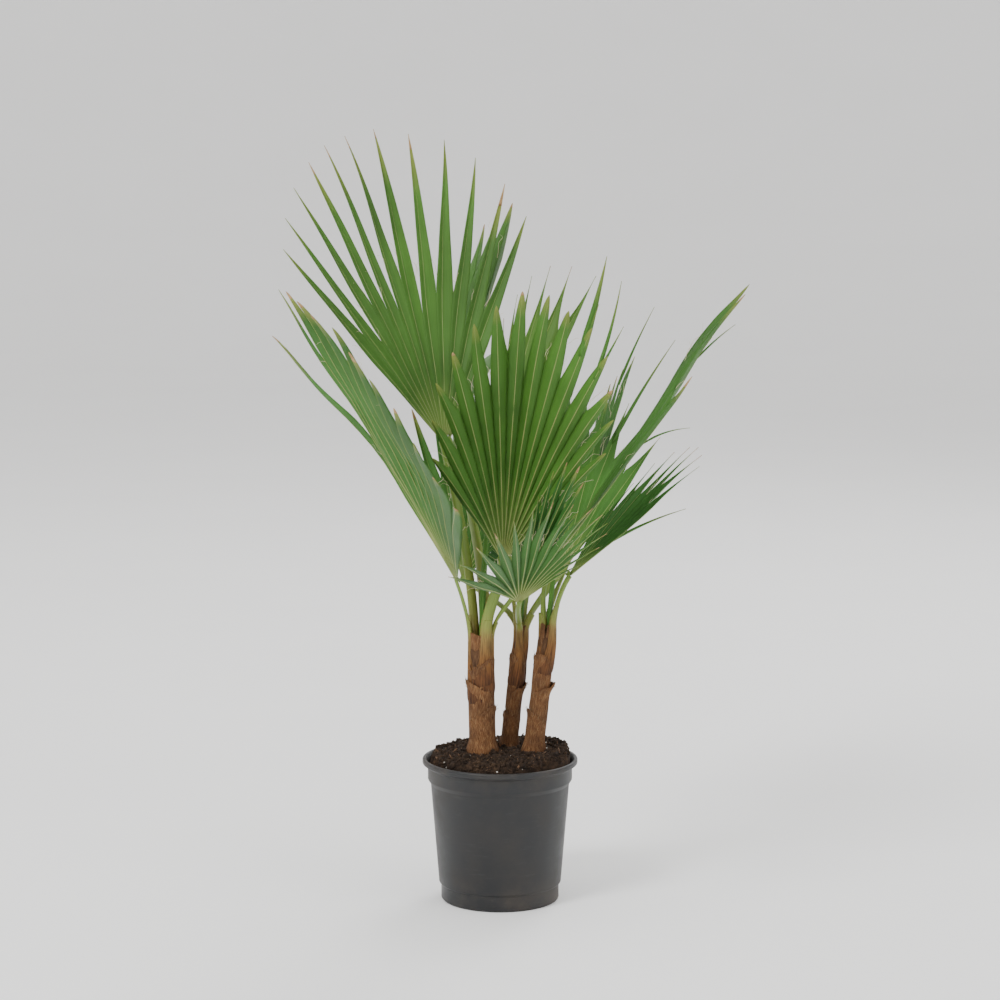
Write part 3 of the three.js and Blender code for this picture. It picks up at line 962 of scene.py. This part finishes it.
def buildTeeth():
    shape = toothShape
    dice = random.Random(7)
    bm = bmesh.new()
    for leaf in leaves.values():
        centre, frameAt, halfWidth, _ = leaf["stalk"]
        length = sum((centre(k / 20) - centre((k + 1) / 20)).length for k in range(20))
        count = int(length * (shape["to"] - shape["from"]) / shape["spacing"])
        for sign in (-1, 1):
            for k in range(count):
                b = mix(shape["from"], shape["to"], (k + dice.uniform(0.2, 0.8)) / count)
                spine, side, _ = frameAt(b)
                size = dice.uniform(*shape["sizes"]) * mix(shape["footSize"], shape["endSize"], b)
                lean = dice.choice(shape["lean"])
                point = (side * sign + spine * lean).normalized()
                turn = point.to_track_quat("Z", "Y").to_matrix().to_4x4()
                edge = centre(b) + side * sign * (halfWidth(b) - shape["sunk"])
                spot = edge + point * shape["tall"] * size / 2
                bmesh.ops.create_cone(
                    bm, segments=shape["sides"], radius1=shape["radius"] * size, radius2=shape["tipRadius"],
                    depth=shape["tall"] * size, cap_ends=True, matrix=Matrix.Translation(spot) @ turn)
    finishPiece(bm, "stalk_teeth", skins["toothHorn"], weld=0)


buildTeeth()
print("teeth done")


# threads: the pale curly fibres that part from the edges of the segments

# share is the part of the segments' edges that have one, lengths are those on a blade of bladeLength
threadShape = {
    "sides": 3, "steps": 14, "radius": 0.2, "share": 0.85, "lengths": (12, 46), "bladeLength": 260,
    "turns": (0.6, 1.8), "curl": 0.06, "fall": (0.0, 0.35), "slack": 0.25, "opening": 1.3, "thinning": 0.6,
    "edges": (0.02, 0.98), "above": 0.12, "outward": (0.05, 0.5),
}
fullTurn = 6.28


def curlyThread(bm, start, direction, length, dice, radius, fall, curl):
    shape = threadShape
    side = sideways(direction, Vector([dice.uniform(-1, 1) for _ in range(3)]))
    other = direction.cross(side)
    turns = dice.uniform(*shape["turns"])
    phase = dice.uniform(0, fullTurn)
    size = length * curl

    def centre(b):
        wide = size * b ** shape["opening"]
        angle = phase + fullTurn * turns * b
        return (start + direction * length * b * (1 - shape["slack"] * b)
                + side * wide * (math.cos(angle) - math.cos(phase))
                + other * wide * (math.sin(angle) - math.sin(phase))
                - up * fall * length * b * b)

    def ring(angle, b):
        spine = (centre(b + 0.02) - centre(b - 0.02 if b > 0.02 else 0)).normalized()
        first = sideways(spine, side if abs(spine.dot(side)) < 0.9 else other)
        second = spine.cross(first)
        thin = radius * (1 - shape["thinning"] * b)
        return rim(centre(b), first, second, angle, thin, thin)
    shapedTube(bm, shape["sides"], shape["steps"], ring)


def buildThreads():
    shape = threadShape
    dice = random.Random(11)
    bm = bmesh.new()
    for leaf in leaves.values():
        for point, length in leaf["shapes"]:
            for edge in shape["edges"]:
                if dice.random() > shape["share"]:
                    continue
                at = bladeShape["webShare"] + dice.uniform(0.0, shape["above"])
                start = point(edge, at)
                spine = (point(0.5, at + 0.05) - point(0.5, at)).normalized()
                out = (start - point(0.5, at)).normalized()
                direction = (spine + out * dice.uniform(*shape["outward"])).normalized()
                long = dice.uniform(*shape["lengths"]) * length / shape["bladeLength"]
                fall = dice.uniform(*shape["fall"])
                curlyThread(bm, start, direction, long, dice, shape["radius"], fall, shape["curl"])
    finishPiece(bm, "leaf_threads", skins["threadStraw"], weld=0)


buildThreads()
print("threads done")


# slim tips: narrow strips that part from a segment's side and reach past it

slimShape = {
    "steps": 16, "fold": 0.5, "foot": 0.45, "taper": 0.8, "end": 0.16, "thickness": 0.3, "stiff": 0.25,
}

# at is how far along its segment each one starts, half is half its width
slimTips = [
    {"leaf": "centre_front", "segment": 9, "at": 0.74, "tip": (88.8, -150, 589), "half": 4.2},
    {"leaf": "centre_front", "segment": 9, "at": 0.8, "tip": (82.3, -152, 549.5), "half": 1.6},
    {"leaf": "centre_front", "segment": 10, "at": 0.74, "tip": (101, -152, 568.5), "half": 2.2},
    {"leaf": "centre_front", "segment": 10, "at": 0.84, "tip": (103, -150, 530.5), "half": 1.4},
    {"leaf": "back_right", "segment": 2, "at": 0.77, "tip": (148.7, 218, 523), "half": 1.6},
    {"leaf": "right_back", "segment": 7, "at": 0.54, "tip": (164.8, 150, 496.3), "half": 2.2},
    {"leaf": "right_high", "segment": 0, "at": 0.33, "tip": (170.5, 20, 427.2), "half": 1.1},
    {"leaf": "right_low", "segment": 6, "at": 0.14, "tip": (164.5, -26, 360.3), "half": 1.8},
    {"leaf": "right_high", "segment": 3, "at": 0.78, "tip": (216.6, 95, 514.8), "half": 1.1},
]


def buildSlimTips():
    shape = slimShape
    bm = bmesh.new()
    for slim in slimTips:
        point = leaves[slim["leaf"]]["shapes"][slim["segment"]][0]
        start, last = point(0.5, slim["at"]), Vector(slim["tip"])
        # it starts out along its segment and is then pulled towards the tip
        heading = (start - point(0.5, slim["at"] - 0.1)).normalized()
        middle = start.lerp(last, 0.5 - shape["stiff"]) + heading * (last - start).length * shape["stiff"]

        def place(a, b):
            centre, spine = bow(start, middle, last, b)
            side = sideways(spine, Vector((1, 0, -0.6)))
            edge = 2 * a - 1
            width = slim["half"] * (1 - b) ** shape["taper"] * ease(shape["foot"] + b * 2)
            width = max(width, shape["end"])
            return centre + side * width * edge + spine.cross(side) * width * shape["fold"] * (abs(edge) - 1)
        shapedGrid(bm, 2, shape["steps"], place, lambda a, b: (a, 0.6 + 0.4 * b))
    finishPiece(bm, "slim_tips", leafMaterial("leaf_slim", 0.5), thick=shape["thickness"])


buildSlimTips()
print("slim tips done")


# stems: a fibrous core, old sheaths round it and loose fibres at their lips

stemLook = {"sides": 72, "steps": 60, "dome": 14, "domed": 0.9, "inside": 1.5}
# fine upright ridges and broad lumps: how tall, and how close round the stem and along it
stemGrain = (
    {"height": 0.45, "round": 14, "along": 0.03, "seed": 1},
    {"height": 0.8, "round": 2, "along": 0.045, "seed": 3},
)

# from and to are heights, facing is the side of the pointed lip in degrees from +X
sheathKeys = ("stem", "from", "to", "facing", "wrap", "gap", "flare", "peak")
sheaths = [dict(zip(sheathKeys, row)) for row in (
    ("left", 137, 199, 186, 290, 0.6, 2.2, 9),
    ("left", 137, 176, -30, 240, 0.9, 0.9, 12),
    ("left", 168, 219, -35, 250, 0.3, 0.8, 11),
    ("left", 196, 247, 120, 345, -1.7, 0.4, 5),
    ("middle", 137, 192, 5, 300, 0.5, 2.6, 8),
    ("middle", 137, 168, 230, 230, 0.8, 0.8, 10),
    ("middle", 168, 219, 215, 240, 0.3, 0.7, 10),
    ("middle", 200, 249, 60, 345, -1.4, 0.4, 4),
    ("right", 137, 196, 0, 290, 0.6, 4.2, 10),
    ("right", 137, 171, 205, 240, 0.9, 0.9, 11),
    ("right", 172, 223, 235, 250, 0.3, 0.8, 10),
    ("right", 205, 256, 80, 345, -1.5, 0.4, 4),
)]


def fibreHeight(angle, z, seed):
    height = 0
    for grain in stemGrain:
        x, y = math.cos(angle) * grain["round"], math.sin(angle) * grain["round"]
        height += grain["height"] * noise.noise(Vector((x, y, z * grain["along"] + seed * grain["seed"])))
    return height


def buildStems():
    look = stemLook
    for number, (name, stem) in enumerate(stems.items()):
        low = stemShape["soilHeight"] - look["inside"]
        bm = bmesh.new()

        def ring(angle, b):
            z = mix(low, stem["topHeight"], b)
            radius = stemRadius(stem, z) - look["inside"] + fibreHeight(angle, z, number)
            domed = max(0, (z - stem["topHeight"] + look["dome"]) / look["dome"])
            radius *= math.sqrt(1 - look["domed"] * domed ** 2)
            return stemCentre(stem, z) + Vector((math.cos(angle), math.sin(angle), 0)) * radius
        shapedTube(bm, look["sides"], look["steps"], ring, lambda a, b: (a * 3, b * 3))
        finishPiece(bm, "trunk_" + name, skins["oldFibre"], ["stem_" + name])


sheathShape = {
    "columns": 60, "rows": 26, "thickness": 0.55, "inside": 0.7, "ridges": 0.7,
    "teeth": 13, "torn": 1.7,  # how many teeth the torn lip has, and how tall they are
    "flareFrom": 0.72, "flareLeast": 0.15, "tuck": 0.9, "tuckTo": 0.12,
    "lower": 0.6,  # how far the lip lies below its named height, as a share of the peak
}


def buildSheaths():
    shape = sheathShape
    lips = []
    for number, sheath in enumerate(sheaths):
        stem = stems[sheath["stem"]]
        dice = random.Random(60 + number)
        facing = math.radians(sheath["facing"])
        wrap = math.radians(sheath["wrap"])
        # a torn lip: a few teeth of its own over the slow rise to the peak
        tears = [dice.uniform(-1, 1) for _ in range(shape["teeth"])]

        def lip(a, sheath=sheath, tears=tears):
            slow = sheath["peak"] * (math.cos((a - 0.5) * 2 * math.pi) + 1) / 2
            k = a * (len(tears) - 1)
            i = min(int(k), len(tears) - 2)
            torn = mix(tears[i], tears[i + 1], k - i) * shape["torn"]
            return sheath["to"] - sheath["peak"] * shape["lower"] + slow + torn

        def place(a, b, stem=stem, sheath=sheath, facing=facing, wrap=wrap, lip=lip, number=number):
            angle = facing + (a - 0.5) * wrap
            z = mix(sheath["from"], lip(a), b)
            radius = stemRadius(stem, min(z, stem["topHeight"])) - shape["inside"] + sheath["gap"]
            radius += shape["ridges"] * fibreHeight(angle, z, number * 1.7)
            opened = ease((b - shape["flareFrom"]) / (1 - shape["flareFrom"])) ** 2
            radius += sheath["flare"] * opened * max(shape["flareLeast"], math.cos((a - 0.5) * 3))
            if sheath["from"] > stemShape["soilHeight"]:
                radius -= shape["tuck"] * (1 - ease(b / shape["tuckTo"]))
            return stemCentre(stem, z) + Vector((math.cos(angle), math.sin(angle), 0)) * radius
        bm = bmesh.new()
        turns = sheath["wrap"] / 360
        shapedGrid(bm, shape["columns"], shape["rows"], place, lambda a, b: (a * 3 * turns, b * 1.6))
        finishPiece(bm, f"sheath_{number + 1}", skins["sheathFibre"], thick=shape["thickness"])
        lips.append((place, sheath))
    return lips


fibreShape = {
    "count": 44, "lengths": (2.5, 8), "radius": 0.24, "fall": (0, 0.3), "curl": 0.08,
    "across": (0.02, 0.98), "up": (0.86, 0.99), "root": 0.8,  # where they start, as shares of the sheath
    "outward": (0, 0.4),
}


def buildLooseFibres(lips):
    shape = fibreShape
    dice = random.Random(23)
    bm = bmesh.new()
    for place, sheath in lips:
        if sheath["gap"] < 0:  # these lie inside the leaf bases
            continue
        for _ in range(shape["count"]):
            a = dice.uniform(*shape["across"])
            start = place(a, dice.uniform(*shape["up"]))
            below = place(a, shape["root"])
            middle = stemCentre(stems[sheath["stem"]], start.z)
            out = (start - middle).normalized()
            direction = ((start - below).normalized() + out * dice.uniform(*shape["outward"])).normalized()
            length, fall = dice.uniform(*shape["lengths"]), dice.uniform(*shape["fall"])
            curlyThread(bm, start, direction, length, dice, shape["radius"], fall, shape["curl"])
    finishPiece(bm, "loose_fibres", skins["looseFibre"], weld=0)


buildStems()
sheathLips = buildSheaths()
buildLooseFibres(sheathLips)
print("stems done")


# soil: a lumpy bed in the pot, with crumbs, white perlite and bits of bark on it

soilShape = {
    "floor": 3.2, "radius": 63.2, "level": 137, "levelRadius": 48, "shoulderRadius": 59.5,
    "shoulder": 133.5, "edge": 125, "heap": 7, "sides": 180, "steps": 130,
    "wallShare": 0.3,  # the part of the steps that runs up the pot's wall
    "calmFrom": 58, "calmOver": 8, "calm": 0.35,  # the lumps are lower near the wall
}
# lumps of three sizes: fineness and height
soilLumps = ((0.09, 1.8), (0.28, 1.5), (0.7, 1.3))


def soilHeight(x, y):
    shape = soilShape
    r = math.hypot(x, y)
    heaped = shape["heap"] * max(0.0, x / r) if r > 1 else 0
    if r <= shape["levelRadius"]:
        smooth = shape["level"]
    elif r <= shape["shoulderRadius"]:
        t = (r - shape["levelRadius"]) / (shape["shoulderRadius"] - shape["levelRadius"])
        smooth = mix(shape["level"], shape["shoulder"] + heaped, t)
    else:
        t = (r - shape["shoulderRadius"]) / (shape["radius"] - shape["shoulderRadius"])
        smooth = mix(shape["shoulder"], shape["edge"], min(1, t)) + heaped
    broad, middle, small = (noise.noise(Vector((x, y, seed)) * fine) * height
                            for seed, (fine, height) in zip((0, 7, 3), soilLumps))
    lumps = broad + middle + abs(small)
    return smooth + lumps * (1 - shape["calm"] * ease((r - shape["calmFrom"]) / shape["calmOver"]))


potBody = {
    "foot": 53.4, "footStep": 16, "bodyFoot": 55.3, "bodyTop": 62.6, "bodyTopHeight": 107,
    "collar": 65.2, "collarBottom": 111, "collarTop": 122.6, "rim": 70, "height": 130,
    "lip": 4.4, "wall": 1.5, "floor": 2.6,
}


def buildSoil():
    shape = soilShape
    inner = potBody["wall"] + 0.3
    share = shape["wallShare"]
    bm = bmesh.new()

    def ring(angle, b):
        # up the wall for the first stretch, then in over the top to the middle
        if b < share:
            z = mix(shape["floor"], shape["edge"], b / share)
            if z < potBody["footStep"]:
                radius = potBody["foot"] - inner
            else:
                t = (z - potBody["footStep"]) / (potBody["bodyTopHeight"] - potBody["footStep"])
                radius = mix(potBody["bodyFoot"], potBody["bodyTop"], min(1, t)) - inner
            if z > potBody["collarBottom"]:
                radius = potBody["collar"] - inner
        else:
            radius = (potBody["collar"] - inner) * (1 - (b - share) / (1 - share))
        x, y = radius * math.cos(angle), radius * math.sin(angle)
        return Vector((x, y, z if b < 0.9 * share else soilHeight(x, y)))
    shapedTube(bm, shape["sides"], shape["steps"], ring)
    finishPiece(bm, "soil_bed", skins["peatSoil"], ["soil"])


# clear is how far from a stem the lumps start, in stem radii, and raised how high they lie, in their size
scatterShape = {"reach": 63, "clear": 1.2, "smallest": 0.6, "grain": 1.3, "raised": 0.25}


def scatter(bm, dice, count, sizes, squash, rough, inner=0, outer=62):
    # strews rough lumps over the soil between two radii
    shape = scatterShape
    made = 0
    while made < count:
        x, y = (dice.uniform(-shape["reach"], shape["reach"]) for _ in range(2))
        if not inner < math.hypot(x, y) < outer:
            continue
        if any(math.dist((x, y), stem["foot"]) < stem["radius"] * shape["clear"] for stem in stems.values()):
            continue
        size = dice.uniform(*sizes) * dice.uniform(shape["smallest"], 1.0)
        spin = Quaternion([dice.uniform(-1, 1) for _ in range(4)]).normalized()
        lump = bmesh.ops.create_icosphere(bm, subdivisions=1, radius=size)["verts"]
        seed = Vector((made * 3.1, 0, 0))
        for v in lump:
            v.co *= 1 + rough * noise.noise(v.co / size * shape["grain"] + seed)
            v.co = Vector((v.co.x * squash[0], v.co.y * squash[1], v.co.z * squash[2]))
            v.co.rotate(spin)
            v.co += Vector((x, y, soilHeight(x, y) + size * shape["raised"]))
        made += 1


crumbs = [
    {"count": 1500, "sizes": (0.7, 2.1), "squash": (1.2, 1, 0.8), "rough": 0.6},
    {"count": 120, "sizes": (2.2, 3.6), "squash": (1.2, 1, 0.75), "rough": 0.6},
    {"count": 420, "sizes": (0.8, 2.6), "squash": (1.2, 1, 0.8), "rough": 0.6, "inner": 55},
    {"count": 620, "sizes": (0.7, 1.7), "squash": (1.2, 1, 0.8), "rough": 0.6, "inner": 58.5, "outer": 62.9},
]
perlite = {"count": 42, "sizes": (0.5, 1.3), "squash": (1.1, 1, 0.8), "rough": 0.7}
barkBits = {"count": 110, "sizes": (1.0, 2.6), "squash": (2.2, 0.45, 0.3), "rough": 0.3}


def buildCrumbs():
    dice = random.Random(31)
    for name, kinds, skin in (("soil_crumbs", crumbs, "peatSoil"), ("perlite", [perlite], "perliteWhite"),
                              ("bark_bits", [barkBits], "barkChip")):
        bm = bmesh.new()
        for kind in kinds:
            scatter(bm, dice, **kind)
        finishPiece(bm, name, skins[skin], weld=0)


buildSoil()
buildCrumbs()
print("soil done")


# pot: one spun wall with a foot, a collar and a flared lip, and drain holes through its floor

potLook = {
    "turns": 128, "floorRing": 30, "bevel": 0.6, "round": 1.5, "lipRound": 0.8,
    "outOfRound": 0.0025, "ovalAngle": 0.6, "stiffRadius": 40,
    "drainHoles": 8, "drainRadius": 4.5, "drainCircle": 38, "drainDepth": 12,
}


def buildPot():
    pot = potBody
    wall = pot["wall"]
    lipBottom = pot["height"] - pot["lip"]
    soft, lipSoft, ring = potLook["round"], potLook["lipRound"], potLook["floorRing"]
    outline = [
        (0, 0), (ring, 0), (pot["foot"] - soft, 0), (pot["foot"], soft),
        (pot["foot"], pot["footStep"] - soft), (pot["bodyFoot"], pot["footStep"]),
        (pot["bodyTop"], pot["bodyTopHeight"]),
        (pot["collar"], pot["collarBottom"]), (pot["collar"], pot["collarTop"]), (pot["rim"], lipBottom),
        (pot["rim"], pot["height"] - lipSoft), (pot["rim"] - lipSoft, pot["height"]),
        (pot["rim"] - 2 * wall, pot["height"]), (pot["collar"] - wall, pot["collarTop"] + wall),
        (pot["collar"] - wall, pot["collarBottom"]), (pot["bodyTop"] - wall, pot["bodyTopHeight"]),
        (pot["bodyFoot"] - wall, pot["footStep"] + wall), (pot["foot"] - wall, pot["footStep"]),
        (pot["foot"] - wall, pot["floor"]), (ring, pot["floor"]), (0, pot["floor"]),
    ]
    bm = spun(outline, potLook["turns"])
    bmesh.ops.remove_doubles(bm, verts=bm.verts, dist=0.01)
    bmesh.ops.dissolve_degenerate(bm, edges=bm.edges, dist=0.001)
    bmesh.ops.recalc_face_normals(bm, faces=bm.faces)
    hoops = [e for e in bm.edges if len(e.link_faces) == 2 and e.calc_face_angle() > math.radians(20)]
    bmesh.ops.bevel(bm, geom=hoops, offset=potLook["bevel"], segments=2, affect="EDGES",
                    profile=0.5, material=-1, clamp_overlap=True)
    for v in bm.verts:  # thin walls are never quite round
        angle = math.atan2(v.co.y, v.co.x)
        share = ease(v.co.z / pot["height"]) * min(1, math.hypot(v.co.x, v.co.y) / potLook["stiffRadius"])
        wider = 1 + potLook["outOfRound"] * share * math.cos(2 * angle + potLook["ovalAngle"])
        v.co.x *= wider
        v.co.y *= wider
    piece = finishPiece(bm, "pot_shell", skins["potPlastic"], ["pot"])
    cutter = bmesh.new()
    for k in range(potLook["drainHoles"]):
        angle = 2 * math.pi * k / potLook["drainHoles"]
        spot = Vector((math.cos(angle), math.sin(angle), 0)) * potLook["drainCircle"] * toMetres
        bmesh.ops.create_cone(
            cutter, segments=24, radius1=potLook["drainRadius"] * toMetres,
            radius2=potLook["drainRadius"] * toMetres, depth=potLook["drainDepth"] * toMetres,
            cap_ends=True, matrix=Matrix.Translation(spot))
    mesh = bpy.data.meshes.new("drainCutter")
    cutter.to_mesh(mesh)
    cutter.free()
    tool = bpy.data.objects.new("drainCutter", mesh)
    scene.collection.objects.link(tool)
    holes = piece.modifiers.new("drains", "BOOLEAN")
    holes.operation = "DIFFERENCE"
    holes.solver = "EXACT"
    holes.object = tool
    bpy.context.view_layer.update()
    cut = bpy.data.meshes.new_from_object(piece.evaluated_get(bpy.context.evaluated_depsgraph_get()))
    piece.modifiers.clear()
    piece.data = cut
    bpy.data.objects.remove(tool)


buildPot()
print("pot done")


# stage, lights and camera

# metres, degrees below level and millimetres of lens
view = {"place": (0, -2.5, 0.70), "pitch": 7.64, "lens": 101.6, "sensor": 36}
stageSize = {"floor": 5.0, "bend": 3.5, "bendSteps": 16, "height": 7.0, "turns": 96}


def buildStage():
    size = stageSize
    spots = [(0.0, 0.0), (size["floor"] / 2, 0.0), (size["floor"], 0.0)]
    for k in range(1, size["bendSteps"] + 1):
        angle = math.radians(90 * k / size["bendSteps"])
        spots.append((size["floor"] + size["bend"] * math.sin(angle), size["bend"] * (1 - math.cos(angle))))
    spots.append((size["floor"] + size["bend"], size["height"]))
    bm = spun(spots, size["turns"])
    bmesh.ops.remove_doubles(bm, verts=bm.verts, dist=1e-4)
    bmesh.ops.recalc_face_normals(bm, faces=bm.faces)
    bmesh.ops.reverse_faces(bm, faces=bm.faces)
    mesh = bpy.data.meshes.new("paleStage")
    bm.to_mesh(mesh)
    bm.free()
    for face in mesh.polygons:
        face.use_smooth = True
    floor = bpy.data.objects.new("paleStage", mesh)
    scene.collection.objects.link(floor)
    mesh.materials.append(skins["palePaper"])


# place and aim in metres, size across and power in watts
lights = {
    "keyLight": {"place": (-1.7, -1.9, 2.4), "aim": (0, 0, 0.35), "size": 1.1, "power": 76},
    "fillLight": {"place": (2.3, -1.6, 1.3), "aim": (0, 0, 0.35), "size": 1.8, "power": 20},
    "backLight": {"place": (0.9, 1.9, 2.3), "aim": (0, 0, 0.4), "size": 1.3, "power": 34},
}
room = {"color": (1.0, 0.99, 0.975, 1), "strength": 1.12}


def addLights():
    for name, light in lights.items():
        lamp = bpy.data.lights.new(name, "AREA")
        lamp.shape = "DISK"
        lamp.size = light["size"]
        lamp.energy = light["power"]
        thing = bpy.data.objects.new(name, lamp)
        scene.collection.objects.link(thing)
        thing.location = light["place"]
        towards = Vector(light["aim"]) - Vector(light["place"])
        thing.rotation_euler = towards.to_track_quat("-Z", "Y").to_euler()


buildStage()
addLights()
world = bpy.data.worlds.new("softRoom")
world.use_nodes = True
background = world.node_tree.nodes["Background"].inputs
background["Color"].default_value = room["color"]
background["Strength"].default_value = room["strength"]
scene.world = world

lensData = bpy.data.cameras.new("photoCamera")
lensData.lens = view["lens"]
lensData.sensor_width = view["sensor"]
camera = bpy.data.objects.new("photoCamera", lensData)
scene.collection.objects.link(camera)
camera.location = view["place"]
camera.rotation_euler = (math.radians(90 - view["pitch"]), 0, 0)
scene.camera = camera
print("stage, lights and camera done")
